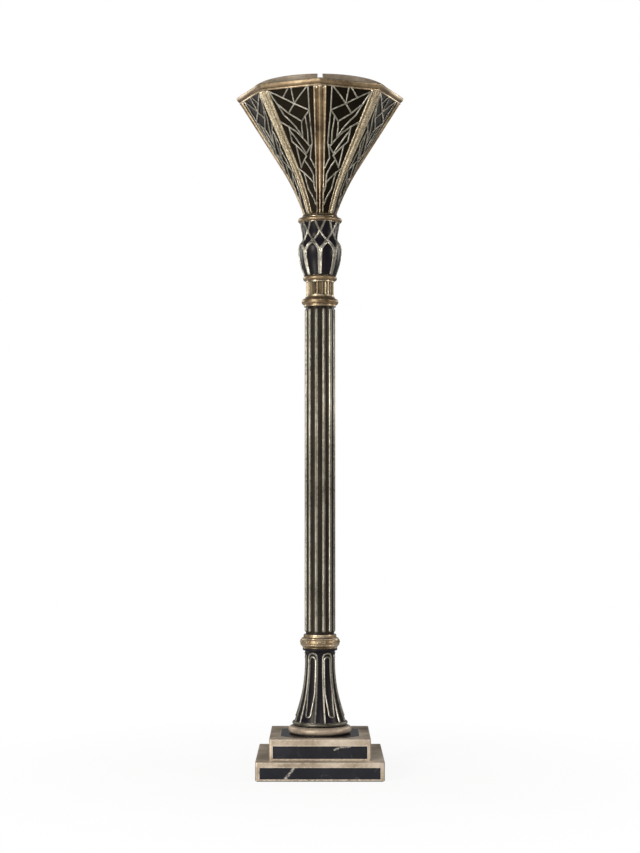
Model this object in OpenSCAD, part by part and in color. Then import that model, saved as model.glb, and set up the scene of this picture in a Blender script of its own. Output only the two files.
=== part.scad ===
// Torchiere floor lamp: a stepped base with stone panels, a flared pedestal, a reeded column,
// a net-patterned capital and an eight-sided flared shade, all clamped on one hollow tie rod.
// Millimetres, +Z up. The origin is the middle of the foot on the floor; the front faces -Y.

/* [Base] */
// Width of the lower tier
base_w = 325; // [280:1:400]
// Height of the lower tier above the floor
lower_h = 48; // [40:1:60]
// Width of the upper tier
upper_w = 257; // [210:1:262]
// Height of the upper tier
upper_h = 53; // [42:1:66]
// Radius of the upright corners of both tiers
corner_r = 4; // [2:0.5:6]
// Wall of the tier castings behind the stone panels, recess included
tier_wall = 9; // [8:0.5:12]
// Depth of the recesses that hold the stone panels
recess_d = 5; // [4:0.5:6]
// How far the stone lies behind the face of its frame
stone_setback = 1; // [0.5:0.5:2]
// Width of the upright bars of the lower frame
lower_post = 11; // [8:1:16]
// Height of the top bar of the lower frame
lower_bar = 13; // [8:1:16]
// Width of the upright bars of the upper frame
upper_post = 9; // [7:1:14]
// Height of the top bar of the upper frame
upper_bar = 17; // [10:1:20]
// Height of the bottom bars of both frames
sill = 4; // [2:0.5:6]
// Thickness of the deck of the lower tier
deck_t = 4; // [3:0.5:6]
// Thickness of the felt under the base
felt_t = 2; // [1.5:0.5:3]
// Thickness of the steel cover under the base
cover_t = 3; // [2:0.5:4]
// Radius of the cast ballast
ballast_r = 100; // [80:1:110]

/* [Pedestal] */
// Outer radius of the foot ring
foot_r = 82; // [76:1:98]
// Height of the foot ring
foot_h = 20; // [16:1:24]
// Outer radius of the bead above the foot ring
bead_r = 72; // [69:1:75]
// Height of the bead
bead_h = 9; // [7:1:11]
// Radius of the pedestal where it stands on the bead
pedestal_base_r = 66; // [56:1:67]
// Radius of the pedestal at its neck
pedestal_neck_r = 37; // [32:0.5:42]
// Height of the pedestal
pedestal_h = 188; // [156:1:226]
// Largest radius of the knop between pedestal and column
knop_r = 52; // [49:1:60]
// Height of the knop
knop_h = 36; // [33:1:42]

/* [Column] */
// Radius of the enamelled tube
column_r = 36.8; // [34:0.1:45]
// Height of the column between knop and collar
column_h = 849; // [500:1:1100]
// Number of reeds round the column
reed_count = 12; // [8:1:14]
// Width of one reed
reed_w = 9; // [6:0.5:10]
// Bare tube below and above the reeds
reed_margin = 6; // [4:1:12]

/* [Capital] */
// Largest radius of the collar above the column
collar_r = 48; // [44:1:57]
// Height of the collar
collar_h = 27; // [24:1:32]
// Radius of the fluted neck
neck_r = 36.4; // [33:0.1:40]
// Height of the fluted neck
neck_h = 39; // [33:1:46]
// Number of flutes round the neck
flute_count = 28; // [16:1:32]
flute_end = 3; // [2:0.5:6] plain part at each end of a flute
// Height of the capital between its two rings
capital_h = 136; // [114:1:163]
// Radius of the shoulder of the capital
shoulder_r = 53; // [49:1:60]
// Outer radius of the ring under the capital
low_ring_r = 44; // [42:0.5:50]
// Outer radius of the ring on top of the capital
top_ring_r = 57; // [53:0.5:64]

/* [Shade] */
// Radius of the shade to the corners of its rim
rim_r = 218; // [182:1:262]
// Radius of the shade to its ribs where it stands on the seat
shade_base_r = 43; // [40:0.5:46]
// Height of the ribs and glass panels
shade_h = 287; // [240:1:344]
// Width of a rib at the rim
rib_top_w = 34; // [28:1:40]
// Width of a rib at the seat
rib_low_w = 18; // [15:1:20]
// Thickness of a rib
rib_t = 12; // [11:0.5:14]
// Thickness of the black glass
glass_t = 4; // [3:0.5:5]
// Height of the rail round the rim
rail_h = 17; // [14:1:20]
// Height of the crown above the rail
crown_h = 20; // [16:1:24]
// Width of the slits between the crown segments
slit_w = 13; // [8:1:16]
// Width of the tracery lines on the glass
line_w = 4.5; // [3:0.5:6]
// Height of the tracery above the glass
line_t = 2.5; // [2:0.5:3]

/* [Fittings] */
// Radius of the hollow tie rod
rod_r = 5; // [4.5:0.1:5.5]
// Radius of the bore of the tie rod
rod_bore_r = 3.5; // [3:0.1:3.8]
// Radius of the flex inside the rod
flex_r = 2; // [1.5:0.1:2.2]
// Radius of the bore of the cord gland
gland_bore_r = 4.5; // [3.5:0.1:5]
// Radius of the lampholder
holder_r = 17; // [16.5:0.1:18]
// Largest radius of the bulb
bulb_r = 30; // [25:1:32]

/* [Hidden] */
$fn = 96;

antique = "#96794f";
pale_bronze = "#a5a08c";
dark_stone = "#2b2e3a";
enamel = "#22242c";
steel = "#9a9c9f";

play = 0.3;           // gap round parts that are dropped in
running_fit = 0.05;   // radial gap of turning and screwed parts
eps = 1;              // how far a cutter runs past the face it cuts

// heights of the joints from the floor up
groove_h = 3;
z_deck = lower_h;
z_upper = z_deck + upper_h;
z_foot = z_upper + foot_h;
z_groove = z_foot + groove_h;
z_bead = z_groove + bead_h;
z_pedestal = z_bead + pedestal_h;
z_knop = z_pedestal + knop_h;
z_column = z_knop + column_h;
z_collar = z_column + collar_h;
z_neck = z_collar + neck_h;
low_ring_h = 15;
z_low_ring = z_neck + low_ring_h;
z_capital = z_low_ring + capital_h;
top_ring_h = 14;
z_top_ring = z_capital + top_ring_h;
seat_h = 8;
z_seat = z_top_ring + seat_h;
z_rail = z_seat + shade_h;
z_rim = z_rail + rail_h;
z_crown = z_rim + crown_h;

// base
cavity_w = base_w - 2 * tier_wall;
z_cover = felt_t + cover_t;
boss_r = 7;
boss_inset = 11;
boss_at = cavity_w / 2 - boss_inset;
cover_screw_r = 2;
cover_head_r = 4;
cover_screw_l = 14;
slab_t = 3;
slab_w = upper_w - 56;
slab_corner = 34;
pocket_r = 18;
gland_x = 62;
gland_z = (felt_t + sill + lower_h - lower_bar) / 2;
gland_r = gland_bore_r + 2.5;
gland_flange_r = gland_r + 3.5;
gland_flange_t = 1;
gland_l = 22;
gland_nut_t = 4;
block_size = [44, 20, 16];
block_y = cavity_w / 2 - 8 - block_size[1];

// tie rod, nuts and washers
hole_r = rod_r + play;
web_t = 6;
nut_h = 8;
nut_r = 9.5;
washer_t = 2;
washer_r = 14;
rod_bottom = z_cover + 11;
z_low_washer = rod_bottom + 2 + nut_h;
z_top_nut = z_seat + washer_t;
z_holder = z_top_nut + nut_h + 2;
holder_floor = 3;
rod_top = z_holder + holder_floor;
flex_z = z_cover + 4;
flex_bend = 6;

// lampholder and bulb
z_cap_top = z_holder + 20;
z_block_top = z_cap_top + 5;
z_shell_top = z_block_top + 36;
holder_wall = 1.2;
insulator_r = holder_r - holder_wall - play;
screw_shell_r = insulator_r - 1.4;
screw_shell_t = 0.6;
bulb_cap_r = screw_shell_r - screw_shell_t - 0.2;
contact_r = 4;
contact_h = 3;
bulb_cap_h = 27;
z_bulb_cap = z_block_top + contact_h;
z_bulb = z_bulb_cap + bulb_cap_h;
bulb_neck_r = bulb_cap_r - 0.8;
bulb_wall = 1;
bulb_centre = z_bulb + 1.25 * bulb_r + 24;
key_z = z_cap_top - 5;
key_r = 2;
key_in = 7;
key_out = holder_r + 4;
key_paddle = [10, 3, 15];

// shade: eight flat sides whose outline is a straight slope on a long arc
sides = 8;
half_side = 180 / sides;
rail_over = 2;
tangent_share = 0.42;   // where the arc meets the straight slope, as a share of the height
z_tangent = z_seat + tangent_share * shade_h;
tangent_r = shade_base_r + 0.33 * (rim_r - shade_base_r);
crown_base_r = rim_r * cos(half_side) - 3;
crown_wall = 8;
crown_lean = 18;
screw_r = 2;
screw_l = 20;

// ---- helpers ----

module rounded_square(w, r) {
    square([w - 2 * r, w], center = true);
    square([w, w - 2 * r], center = true);
    for (x = [-1, 1], y = [-1, 1]) translate([x, y] * (w / 2 - r)) circle(r);
}

// ring between two radii and two heights
module tube(r_in, r_out, z0, z1) {
    translate([0, 0, z0]) difference() {
        cylinder(r = r_out, h = z1 - z0);
        translate([0, 0, -eps]) cylinder(r = r_in, h = z1 - z0 + 2 * eps);
    }
}

// half-round moulding of the given height with a web that centres it on the tie rod
module moulded_ring(r, z0, z1, inner_r) {
    half = (z1 - z0) / 2;
    rotate_extrude() {
        translate([inner_r, z0]) square([r - half - inner_r, z1 - z0]);
        translate([r - half, z0 + half]) circle(half);
        translate([hole_r, z1 - web_t]) square([inner_r - hole_r, web_t]);
    }
}

// straight bar between two points of a flat pattern, with square ends past both points
module bar(a, b, w) {
    d = b - a;
    translate(a) rotate(atan2(d[1], d[0])) translate([-w / 3, -w / 2]) square([norm(d) + 2 * w / 3, w]);
}

module bars(path, w) {
    for (i = [0 : len(path) - 2]) bar(path[i], path[i + 1], w);
}

// pushes a flat pattern, drawn as width and height, out along +X
module push_out(from, to) {
    translate([from, 0, 0]) rotate([90, 0, 90]) linear_extrude(to - from) children();
}

// turns a copy to each side, starting from the front
module around(count, first = 0) {
    for (i = [0 : count - 1]) rotate(-90 + first + i * 360 / count) children();
}

// ---- base ----

module window(w, z0, z1, post, depth, front) {
    translate([post - w / 2, -w / 2 - front, z0]) cube([w - 2 * post, depth + front, z1 - z0]);
}

module tier(w, z0, z1, deck, post, top_bar) {
    difference() {
        translate([0, 0, z0]) linear_extrude(z1 - z0) rounded_square(w, corner_r);
        translate([0, 0, z0 - eps]) linear_extrude(z1 - z0 - deck + eps)
            square(w - 2 * tier_wall, center = true);
        for (a = [0 : 90 : 270]) rotate(a) window(w, z0 + sill, z1 - top_bar, post, recess_d, eps);
        translate([0, 0, z0]) cylinder(r = hole_r, h = z1 - z0 + eps);
    }
}

module stone(w, z0, z1, post) {
    for (a = [0 : 90 : 270]) rotate(a) window(w, z0, z1, post, recess_d, -stone_setback);
}

module gland_hole(r) {
    translate([gland_x, base_w / 2 + eps, gland_z]) rotate([90, 0, 0])
        cylinder(r = r, h = tier_wall + 2 * eps);
}

module cover_screw(grow = 0) {
    head_h = cover_head_r - cover_screw_r;
    translate([0, 0, felt_t]) rotate_extrude() polygon([[0, 0], [cover_head_r + grow, 0],
        [cover_screw_r + grow, head_h], [cover_screw_r + grow, cover_screw_l], [0, cover_screw_l]]);
}

module at_bosses() {
    for (x = [-1, 1], y = [-1, 1]) translate([x * boss_at, y * boss_at, 0]) children();
}

module base_felt() {
    color("#20201e") linear_extrude(felt_t) rounded_square(base_w - 2 * tier_wall / 3, corner_r);
}

module base_cover() {
    color(steel) difference() {
        translate([0, 0, felt_t]) linear_extrude(cover_t) square(cavity_w - 2 * play, center = true);
        at_bosses() cover_screw(running_fit);
        translate([0, 0, -cover_t]) at_bosses()
            cylinder(r = cover_screw_r + running_fit, h = z_cover + 2 * cover_t);
    }
}

module cover_screws() {
    color(steel) at_bosses() cover_screw();
}

module lower_frame() {
    color(antique) difference() {
        union() {
            tier(base_w, felt_t, z_deck, deck_t, lower_post, lower_bar);
            at_bosses() translate([0, 0, z_cover]) cylinder(r = boss_r, h = z_deck - deck_t / 2 - z_cover);
        }
        at_bosses() cylinder(r = cover_screw_r + running_fit, h = felt_t + cover_screw_l + 2);
        gland_hole(gland_r + running_fit);
    }
}

module lower_stone() {
    color(dark_stone) difference() {
        stone(base_w, felt_t + sill, z_deck - lower_bar, lower_post);
        gland_hole(gland_r + running_fit);
    }
}

module ballast() {
    color("#3a3936") difference() {
        tube(hole_r, ballast_r, z_cover, z_deck - deck_t);
        translate([0, 0, z_cover - eps]) cylinder(r = pocket_r, h = z_low_washer + washer_t - z_cover + eps);
        translate([-2 * flex_r, 0, z_cover - eps]) cube([4 * flex_r, ballast_r + eps, 2 * flex_r + 5 + eps]);
    }
}

module terminal_block() {
    color("#d8d4c8") difference() {
        translate([-block_size[0] / 2, block_y, z_cover]) cube(block_size);
        for (x = [-12, 0, 12]) translate([x, block_y + block_size[1] / 2, z_cover + block_size[2] - 5])
            cylinder(r = 2.5, h = 5 + eps);
    }
}

module cord_gland() {
    y_face = base_w / 2 - stone_setback;
    color("#1a1a1a") translate([gland_x, y_face, gland_z]) rotate([90, 0, 0]) difference() {
        union() {
            translate([0, 0, -gland_flange_t]) cylinder(r = gland_flange_r, h = gland_flange_t);
            cylinder(r = gland_r, h = gland_l);
        }
        translate([0, 0, -gland_flange_t - eps])
            cylinder(r = gland_bore_r, h = gland_l + gland_flange_t + 2 * eps);
    }
}

module gland_nut() {
    color(steel) translate([gland_x, base_w / 2 - tier_wall, gland_z]) rotate([90, 0, 0]) difference() {
        cylinder(r = gland_flange_r + 1, h = gland_nut_t, $fn = 6);
        translate([0, 0, -eps]) cylinder(r = gland_r + running_fit, h = gland_nut_t + 2 * eps);
    }
}

// square with cut corners that is let into the deck of the upper tier
module slab_outline() {
    s = slab_w / 2;
    c = s - slab_corner;
    polygon([[-c, -s], [c, -s], [s, -c], [s, c], [c, s], [-c, s], [-s, c], [-s, -c]]);
}

module upper_frame() {
    color(antique) difference() {
        tier(upper_w, z_deck, z_upper, deck_t + slab_t, upper_post, upper_bar);
        translate([0, 0, z_upper - slab_t]) linear_extrude(slab_t + eps) slab_outline();
    }
}

module upper_stone() {
    color(dark_stone) stone(upper_w, z_deck + sill, z_upper - upper_bar, upper_post);
}

module top_slab() {
    color(dark_stone) difference() {
        translate([0, 0, z_upper - slab_t]) linear_extrude(slab_t) slab_outline();
        translate([0, 0, z_upper - slab_t - eps]) cylinder(r = hole_r, h = slab_t + 2 * eps);
    }
}

// ---- pedestal ----

module foot_ring() {
    color(antique) moulded_ring(foot_r, z_upper, z_foot, foot_r - 30);
}

module groove_spacer() {
    color(enamel) tube(hole_r, bead_r - 5, z_foot, z_groove);
}

module foot_bead() {
    color(pale_bronze) moulded_ring(bead_r, z_groove, z_bead, bead_r - 16);
}

pedestal_wall = 4;
cavetto = 8;
arc_h = pedestal_h - 31;
arc_d = pedestal_base_r - pedestal_neck_r;
arc_r = (arc_h * arc_h + arc_d * arc_d) / (2 * arc_d);
z_neck_end = z_pedestal - cavetto - 5;

// radius of the bare pedestal at a height
function pedestal_at(z) = let (dz = max(0, z_bead + arc_h - z))
    pedestal_neck_r + arc_r - sqrt(arc_r * arc_r - dz * dz);

// half section of the flared pedestal, thinner by t all over
module flare_section(t) {
    difference() {
        translate([0, z_bead]) square([pedestal_base_r - t, arc_h]);
        translate([pedestal_neck_r + arc_r, z_bead + arc_h]) circle(arc_r + t, $fn = 360);
    }
    translate([0, z_bead + arc_h]) square([pedestal_neck_r - t, z_pedestal - z_bead - arc_h]);
}

module pedestal_body() {
    color(enamel) rotate_extrude() difference() {
        union() {
            flare_section(0);
            difference() {
                translate([0, z_neck_end]) square([pedestal_neck_r + cavetto, z_pedestal - z_neck_end]);
                translate([pedestal_neck_r + cavetto, z_neck_end]) circle(cavetto);
            }
        }
        flare_section(pedestal_wall);
    }
}

// one sixth of the tracery: a tall arch, and a long loop that hangs between its legs
arch_half = 19;
loop_half = 7;
z_loop_low = z_bead + 14;
z_loop_top = z_bead + 0.44 * pedestal_h;
z_arch = z_pedestal - 16;
pedestal_line = 5;

function on_pedestal(angle, z) = [pedestal_at(z) * sin(angle), z];

module pedestal_pattern() {
    leg = [for (i = [0 : 3]) let (z = z_bead + i * (z_arch - 10 - z_bead) / 3) on_pedestal(arch_half, z)];
    cap = [on_pedestal(arch_half, z_arch - 10), on_pedestal(arch_half * 0.6, z_arch), [0, z_arch]];
    hang = [on_pedestal(arch_half - 4, z_loop_top), on_pedestal(loop_half + 1, z_loop_low + 12),
        on_pedestal(loop_half - 2, z_loop_low + 3), [0, z_loop_low]];
    for (s = [0, 1]) mirror([s, 0]) {
        bars(leg, pedestal_line);
        bars(cap, pedestal_line);
        bars(hang, pedestal_line * 0.8);
    }
}

module pedestal_tracery() {
    color(pale_bronze) intersection() {
        rotate_extrude() difference() {
            translate([0, z_bead]) intersection() {
                square([pedestal_base_r + line_t, pedestal_h]);
                translate([0, -z_bead]) flare_section(-line_t);
            }
            flare_section(0);
        }
        around(6, 30) push_out(pedestal_neck_r / 2, pedestal_base_r + 2 * line_t) pedestal_pattern();
    }
}

module lower_knop() {
    belly = 17;
    spigot_h = 8;
    inner_r = pedestal_neck_r - 8;
    color(antique) rotate_extrude() {
        intersection() {
            translate([knop_r - belly, z_pedestal + 0.42 * knop_h]) circle(belly);
            translate([inner_r, z_pedestal]) square([knop_r, knop_h]);
        }
        translate([inner_r, z_pedestal]) square([knop_r - belly - inner_r, knop_h]);
        translate([inner_r, z_knop - 8]) square([column_r + 5 - inner_r, 8]);
        translate([hole_r, z_knop - web_t]) square([inner_r - hole_r + eps, web_t]);
        translate([inner_r, z_knop]) square([column_r - column_wall - play - inner_r, spigot_h]);
    }
}

// ---- column ----

column_wall = 3;
reed_seat = sqrt(column_r * column_r - reed_w * reed_w / 4);
z_reed_low = z_knop + reed_margin;
z_reed_top = z_column - reed_margin;

module at_reeds() {
    around(reed_count, 180 / reed_count) children();
}

module column_tube() {
    color(enamel) difference() {
        tube(column_r - column_wall, column_r, z_knop, z_column);
        at_reeds() translate([reed_seat, -reed_w / 2, z_reed_low])
            cube([reed_w, reed_w, z_reed_top - z_reed_low]);
    }
}

module column_reeds() {
    color(pale_bronze) at_reeds() intersection() {
        translate([reed_seat, 0, z_reed_low]) cylinder(r = reed_w / 2, h = z_reed_top - z_reed_low);
        translate([reed_seat, -reed_w, z_reed_low]) cube([reed_w, 2 * reed_w, z_reed_top - z_reed_low]);
    }
}

// ---- capital ----

module upper_collar() {
    bulge = 8;
    spigot_h = 8;
    inner_r = column_r - column_wall - 4;
    z_bulge = z_column + 0.48 * collar_h;
    color(antique) rotate_extrude() {
        translate([collar_r - bulge, z_bulge]) circle(bulge);
        polygon([[inner_r, z_column], [column_r + 5, z_column], [collar_r - bulge, z_bulge - bulge],
            [collar_r - bulge, z_bulge + bulge], [neck_r + 1, z_collar], [inner_r, z_collar]]);
        translate([hole_r, z_collar - web_t]) square([inner_r - hole_r + eps, web_t]);
        translate([inner_r, z_column - spigot_h])
            square([column_r - column_wall - play - inner_r, spigot_h + eps]);
    }
}

module fluted_neck() {
    flute_r = 0.36 * 2 * 3.1416 * neck_r / flute_count;
    color(antique) difference() {
        tube(neck_r - 8, neck_r, z_collar, z_neck);
        around(flute_count) translate([neck_r + flute_r / 3, 0, z_collar + flute_end])
            cylinder(r = flute_r, h = neck_h - 2 * flute_end);
    }
}

module capital_low_ring() {
    color(antique) moulded_ring(low_ring_r, z_neck, z_low_ring, low_ring_r - 16);
}

// outline of the bare capital as height and radius: a swelling cup, a shoulder and a waisted top
waist_r = shoulder_r - 10;
capital_rim_r = shoulder_r - 4;
capital_wall = 4;
z_shoulder = z_low_ring + 0.54 * capital_h;
z_waist = z_low_ring + 0.68 * capital_h;
capital_outline = [[z_low_ring, low_ring_r - 5], [z_low_ring + 0.4 * capital_h, shoulder_r],
    [z_shoulder, shoulder_r], [z_shoulder + 6, shoulder_r - 3], [z_waist, waist_r],
    [z_waist + 0.12 * capital_h, waist_r], [z_capital, capital_rim_r]];

module capital_section(t) {
    polygon(concat([[0, z_low_ring]], [for (p = capital_outline) [p[1] + t, p[0]]], [[0, z_capital]]));
}

module capital_body() {
    color(enamel) rotate_extrude() difference() {
        capital_section(0);
        capital_section(-capital_wall);
    }
}

// one eighth of the net: two mullions, a pointed arch, and crossing ribs that frame lozenges
function on_capital(angle, z) = [(lookup(z, capital_outline) + line_t / 2) * sin(angle), z];

module capital_pattern() {
    z_spring = z_low_ring + 0.43 * capital_h;
    z_vee = z_low_ring + 0.48 * capital_h;
    z_arch_top = z_low_ring + 0.59 * capital_h;
    z_cross = z_low_ring + 0.65 * capital_h;
    z_net = z_low_ring + 0.82 * capital_h;
    for (s = [0, 1]) mirror([s, 0]) {
        bars([on_capital(18.5, z_low_ring), on_capital(18.5, z_spring)], line_w * 0.8);
        bars([on_capital(18.5, z_spring), on_capital(10, z_spring + 15), [0, z_arch_top]], line_w);
        bars([on_capital(22.5, z_vee), [0, z_cross]], line_w);
        bars([[0, z_cross], on_capital(22.5, z_net)], line_w);
        bars([on_capital(22.5, z_net), on_capital(10, z_capital)], line_w);
    }
}

module eighth(reach, grow = 0) {
    half_w = reach * tan(half_side + grow);
    linear_extrude(z_crown) polygon([[0, 0], [reach, -half_w], [reach, half_w]]);
}

module capital_tracery() {
    color(pale_bronze) intersection() {
        rotate_extrude() difference() {
            capital_section(line_t + 1);
            capital_section(0);
        }
        around(sides, half_side) intersection() {
            push_out(waist_r / 2, shoulder_r + 10) capital_pattern();
            eighth(shoulder_r + 20, 0.5);
        }
    }
}

module capital_top_ring() {
    color(antique) moulded_ring(top_ring_r, z_capital, z_top_ring, top_ring_r - 20);
}

// ---- tie rod ----

module nut(z) {
    translate([0, 0, z]) difference() {
        cylinder(r = nut_r, h = nut_h, $fn = 6);
        translate([0, 0, -eps]) cylinder(r = rod_r + running_fit, h = nut_h + 2 * eps);
    }
}

module tie_rod() {
    color(steel) tube(rod_bore_r, rod_r, rod_bottom, rod_top);
}

module rod_nuts() {
    color(steel) {
        nut(z_low_washer - nut_h);
        nut(z_top_nut);
    }
}

module rod_washers() {
    color(steel) for (z = [z_low_washer, z_seat]) tube(rod_r + running_fit, washer_r, z, z + washer_t);
}

// flex from the terminal block, along the channel under the ballast and up the tie rod
module inner_flex() {
    color("#b58a2a") {
        translate([0, flex_bend, flex_z]) rotate([-90, 0, 0]) cylinder(r = flex_r, h = block_y - flex_bend);
        translate([0, flex_bend, flex_z + flex_bend]) rotate([0, 90, 0]) rotate([180, 0, 0])
            rotate_extrude(angle = 90) translate([flex_bend, 0]) circle(flex_r);
        translate([0, 0, flex_z + flex_bend]) cylinder(r = flex_r, h = rod_top + 4 - flex_z - flex_bend);
    }
}

// ---- shade ----

// The outline in a plane through the axis runs from the seat up a long arc and then up a
// straight slope. k scales it from the corners (1) to the middles of the sides (cos).
function slope_angle(k) = atan2(k * (rim_r - tangent_r), z_rim - z_tangent);
function arc_centre_dir(k) = [cos(slope_angle(k)), -sin(slope_angle(k))];
function arc_radius(k) = let (d = [k * (shade_base_r - tangent_r), z_seat - z_tangent])
    (d * d) / (2 * (d * arc_centre_dir(k)));
function arc_centre(k) = [k * tangent_r, z_tangent] + arc_radius(k) * arc_centre_dir(k);
function slope_r(k, z) = k * tangent_r + (z - z_tangent) * tan(slope_angle(k));
function outline_r(k, z) = z > z_tangent ? slope_r(k, z)
    : arc_centre(k)[0] - sqrt(pow(arc_radius(k), 2) - pow(z - arc_centre(k)[1], 2));

// everything inside the outline from the seat to z_end, moved inwards by t
module inside_outline(k, t, z_end) {
    a = slope_angle(k);
    z_join = z_tangent + t * sin(a);
    shift = t / cos(a);
    difference() {
        translate([0, z_seat]) square([k * tangent_r, z_join - z_seat]);
        translate(arc_centre(k)) circle(arc_radius(k) + t, $fn = 720);
    }
    polygon([[0, z_join - 5], [k * tangent_r / 2, z_join - 5], [slope_r(k, z_join) - shift, z_join],
        [slope_r(k, z_end) - shift, z_end], [0, z_end]]);
}

// slab that follows the outline between two depths, w wide, along +X
module curved_slab(k, t_out, t_in, w) {
    rotate([90, 0, 0]) translate([0, 0, -w / 2]) linear_extrude(w) difference() {
        inside_outline(k, t_out, z_rail);
        inside_outline(k, t_in, z_rail);
    }
}

function rib_half(z) = (rib_low_w + (rib_top_w - rib_low_w) * (z - z_seat) / shade_h) / 2;

// wedge-shaped outline of a rib as seen from outside
module rib_front(grow = 0) {
    z0 = z_seat - grow;
    z1 = z_rail + grow;
    push_out(shade_base_r / 3, rim_r + 20)
        polygon([[-rib_half(z0), z0], [rib_half(z0), z0], [rib_half(z1), z1], [-rib_half(z1), z1]]);
}

corner = cos(half_side);
panel_back = 0.5;
border_w = 1.5;
mitre_gap = 0.3;

module shade_seat() {
    color(antique) difference() {
        tube(hole_r, shade_base_r + 3, z_top_ring, z_seat);
        at_rib_screws() cylinder(r = screw_r + running_fit, h = seat_h + 2 * eps);
        at_rib_screws() cylinder(r = 2 * screw_r + running_fit, h = 3 + eps);
    }
}

// places of the screws that hold the ribs on the seat, from below
module at_rib_screws() {
    around(sides) translate([outline_r(1, z_seat) - rib_t / 2 - 1, 0, z_top_ring - eps]) children();
}

module rib_screws() {
    color(steel) translate([0, 0, eps]) at_rib_screws() {
        cylinder(r = screw_r, h = seat_h + 6);
        cylinder(r = 2 * screw_r, h = 3);
    }
}

// places of the two screws that hold the rails on each rib, from above
module at_rail_screws() {
    around(sides) for (s = [-1, 1])
        translate([slope_r(1, z_rail) - 0.75 * rib_t, s * rib_top_w / 4, 0]) children();
}

module rail_screws() {
    color(steel) at_rail_screws() {
        translate([0, 0, z_rim - screw_l - 3]) cylinder(r = screw_r, h = screw_l + eps);
        translate([0, 0, z_rim - 3]) cylinder(r = 2 * screw_r, h = 3);
    }
}

module rail_screw_holes() {
    at_rail_screws() {
        translate([0, 0, z_rim - screw_l - 4]) cylinder(r = screw_r + running_fit, h = screw_l + 4);
        translate([0, 0, z_rim - 3]) cylinder(r = 2 * screw_r + running_fit, h = 3 + eps);
    }
}

module shade_ribs() {
    color(antique) difference() {
        around(sides) intersection() {
            curved_slab(1, 0, rib_t, rib_top_w + 2);
            rib_front();
        }
        translate([0, 0, -eps]) at_rib_screws() cylinder(r = screw_r + running_fit, h = seat_h + 9);
        rail_screw_holes();
    }
}

module glass_side() {
    intersection() {
        curved_slab(corner, panel_back, panel_back + glass_t, rim_r);
        eighth(rim_r);
    }
}

module shade_glass() {
    color(dark_stone) difference() {
        around(sides, half_side) glass_side();
        around(sides) rib_front(eps);
    }
}

// Leaf and star tracery of one side. u runs from the plain rib to the hammered rib, v from the
// seat to the rail. Neighbouring sides mirror each other at their rib.
star = [[[0.49, 1], [0.49, 0.88], [0.12, 0.82], [0.37, 0.74], [0.70, 0.81], [0.49, 0.88]],
    [[1, 0.99], [0.49, 0.88], [0.14, 1]], [[0.11, 1], [0.12, 0.82]], [[0.56, 1], [0.74, 0.93]],
    [[1, 0.98], [0.84, 0.80]], [[0.92, 0.89], [0.70, 0.81]]];
leaves = [[[0.84, 0.80], [0.61, 0.71], [0.44, 0.63]], [[0.37, 0.74], [0.40, 0.69], [0.42, 0.61]],
    [[1, 0.75], [0.59, 0.66], [0.19, 0.54]], [[0.12, 0.82], [0.09, 0.56], [0.38, 0.49]],
    [[0.25, 0.78], [0.22, 0.66], [0.25, 0.56]], [[0.80, 0.71], [0.87, 0.59], [0.40, 0.47], [0.85, 0.38]],
    [[0.82, 0.68], [0.62, 0.58], [0.40, 0.49]], [[0.75, 0.56], [0.83, 0.385]],
    [[0.12, 0.55], [0.23, 0.45], [0, 0.37]], [[1, 0.37], [0.14, 0.25]],
    [[0.55, 0.44], [0.14, 0.32], [0.13, 0.22], [0, 0.18]], [[0.77, 0.34], [0.74, 0.20], [0, 0.07]]];

function side_half(z) = outline_r(corner, z) * tan(half_side) - rib_half(z) / corner;
function on_side(p) = let (z = z_seat + p[1] * shade_h) [(2 * p[0] - 1) * side_half(z), z];

// outline of one glass side between its ribs, smaller by inset all round
module side_outline(inset) {
    steps = 6;
    levels = [for (i = [0 : steps]) z_seat + inset + i * (shade_h - 2 * inset) / steps];
    polygon(concat([for (z = levels) [side_half(z) - inset, z]],
        [for (i = [steps : -1 : 0]) [inset - side_half(levels[i]), levels[i]]]));
}

module side_pattern() {
    intersection() {
        for (path = concat(star, leaves)) bars([for (p = path) on_side(p)], line_w);
        side_outline(play);
    }
    difference() {
        side_outline(play);
        side_outline(play + border_w);
    }
}

module shade_tracery() {
    color(pale_bronze) for (turn = [half_side, -half_side]) around(sides / 2, turn) intersection() {
        curved_slab(corner, panel_back - line_t, panel_back, rim_r);
        push_out(shade_base_r / 2, 2 * rim_r)
            if (turn < 0) mirror([1, 0]) side_pattern(); else side_pattern();
    }
}

// one straight rail, mitred at the corners, with a round inner face
module rim_rails() {
    over = rail_over;
    z_mid = (z_rail + z_rim) / 2;
    color(antique) difference() {
        around(sides, half_side) intersection() {
            rotate([90, 0, 0]) translate([0, 0, -rim_r / 2]) linear_extrude(rim_r)
                polygon([[rim_r / 2, z_rail], [slope_r(corner, z_rail) + over, z_rail],
                    [slope_r(corner, z_rim), z_rim], [rim_r / 2, z_rim]]);
            eighth(rim_r);
        }
        translate([0, 0, z_rail - eps]) cylinder(r = crown_base_r - crown_wall - 5, h = rail_h + 2 * eps);
        around(sides) translate([0, -mitre_gap / 2, z_rail - eps])
            cube([rim_r + eps, mitre_gap, rail_h + 2 * eps]);
        rail_screw_holes();
    }
}

module crown_segments() {
    color(antique) difference() {
        rotate_extrude() polygon([[crown_base_r, z_rim], [crown_base_r - crown_lean, z_crown],
            [crown_base_r - crown_lean - 0.6 * crown_wall, z_crown], [crown_base_r - crown_wall, z_rim]]);
        around(sides) translate([0, -slit_w / 2, z_rim - eps]) cube([rim_r, slit_w, crown_h + 2 * eps]);
    }
}

// ---- lampholder and bulb ----

module key_bore() {
    translate([key_in, 0, key_z]) rotate([0, 90, 0]) cylinder(r = key_r + running_fit, h = holder_r);
}

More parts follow.
